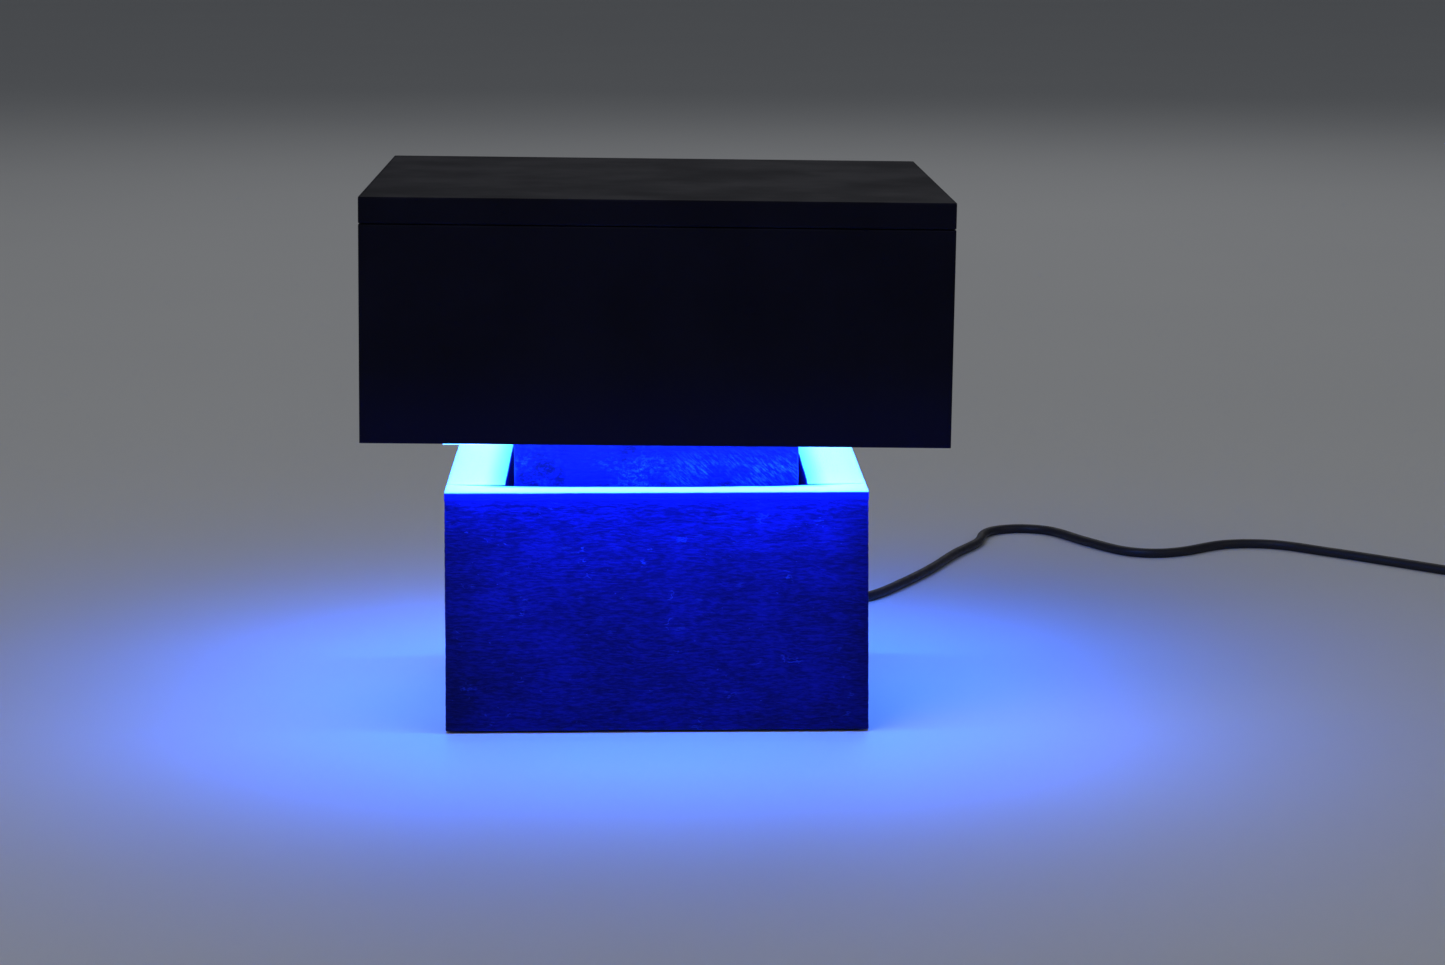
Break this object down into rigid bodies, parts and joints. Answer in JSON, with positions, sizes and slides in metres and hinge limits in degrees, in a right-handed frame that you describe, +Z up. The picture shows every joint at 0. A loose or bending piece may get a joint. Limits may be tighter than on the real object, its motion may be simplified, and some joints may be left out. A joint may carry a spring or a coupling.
{
  "type": "tabletop blue light station",
  "caption": "Tabletop blue light station for small resin parts: rough wooden box base, inner column, lift-off box hood over a hidden light, low-voltage lead.",
  "frame": {"origin": "on the table, under the middle of the base", "axes": "+Z up, the front looks along -Y, +X to the right seen from the front"},
  "size_m": [0.5352, 0.3979, 0.1937],
  "materials": {
    "base_wood": "rough sawn, blue-stained, dry",
    "column_wood": "rough sawn across the grain, fibrous, blue-stained",
    "hood_wood": "near-black matt paint over wood",
    "inner_wood": "plain softwood",
    "screw_steel": "zinc-plated",
    "plate_metal": "satin black powder coat",
    "black_plastic": "moulded, fine texture",
    "aluminium": "mill finish",
    "diffuser_acrylic": "frosted, lit blue from behind",
    "led_board": "white solder mask",
    "driver_plastic": "moulded",
    "lead_sheath": "satin",
    "cord_sheath": "satin",
    "pad_rubber": "matt"
  },
  "bodies": {
    "base": {"angle_screw_left_back": "screw_steel", "angle_screw_left_front": "screw_steel", "angle_screw_right_back": "screw_steel", "angle_screw_right_front": "screw_steel", "base_back_board": "base_wood", "base_floor_board": "inner_wood", "base_front_board": "base_wood", "base_left_board": "base_wood", "base_right_board": "base_wood", "carrier_plate": "aluminium", "column_back_board": "column_wood", "column_cleat_left": "inner_wood", "column_cleat_right": "inner_wood", "column_front_board": "column_wood", "column_left_board": "column_wood", "column_right_board": "column_wood", "cord_coil": "cord_sheath", "cord_plug": "black_plastic", "cord_relief": "black_plastic", "cord_tail": "cord_sheath", "diffuser": "diffuser_acrylic", "diffuser_post_back_left": "aluminium", "diffuser_post_back_right": "aluminium", "diffuser_post_front_left": "aluminium", "diffuser_post_front_right": "aluminium", "driver_lead": "lead_sheath", "floor_screw_back_left": "screw_steel", "floor_screw_back_right": "screw_steel", "floor_screw_front_left": "screw_steel", "floor_screw_front_right": "screw_steel", "foot_pad_back_left": "pad_rubber", "foot_pad_back_right": "pad_rubber", "foot_pad_front_left": "pad_rubber", "foot_pad_front_right": "pad_rubber", "head_angle_left": "aluminium", "head_angle_right": "aluminium", "head_lead": "lead_sheath", "led_board_back": "led_board", "led_board_front": "led_board", "led_board_left": "led_board", "led_board_right": "led_board", "led_driver": "driver_plastic", "plate_screw_high_left": "screw_steel", "plate_screw_high_right": "screw_steel", "plate_screw_low_left": "screw_steel", "plate_screw_low_right": "screw_steel", "service_plate": "plate_metal", "supply_cord": "cord_sheath", "switch_housing": "black_plastic", "switch_lead": "lead_sheath"},
    "hood": {"hood_back_board": "hood_wood", "hood_cleat_back": "inner_wood", "hood_cleat_front": "inner_wood", "hood_front_board": "hood_wood", "hood_left_board": "hood_wood", "hood_right_board": "hood_wood", "hood_top_board": "hood_wood"},
    "switch": {"switch_rocker": "black_plastic"}
  },
  "joints": [
    {"name": "hood_lift", "type": "slide", "parent": "base", "child": "hood", "axis": [0, 0, 1], "range_m": [0, 0.09]},
    {"name": "switch_rock", "type": "hinge", "parent": "base", "child": "switch", "pos_m": [-0.016, 0.0624, 0.034], "axis": [1, 0, 0], "range_deg": [-20, 0]}
  ]
}
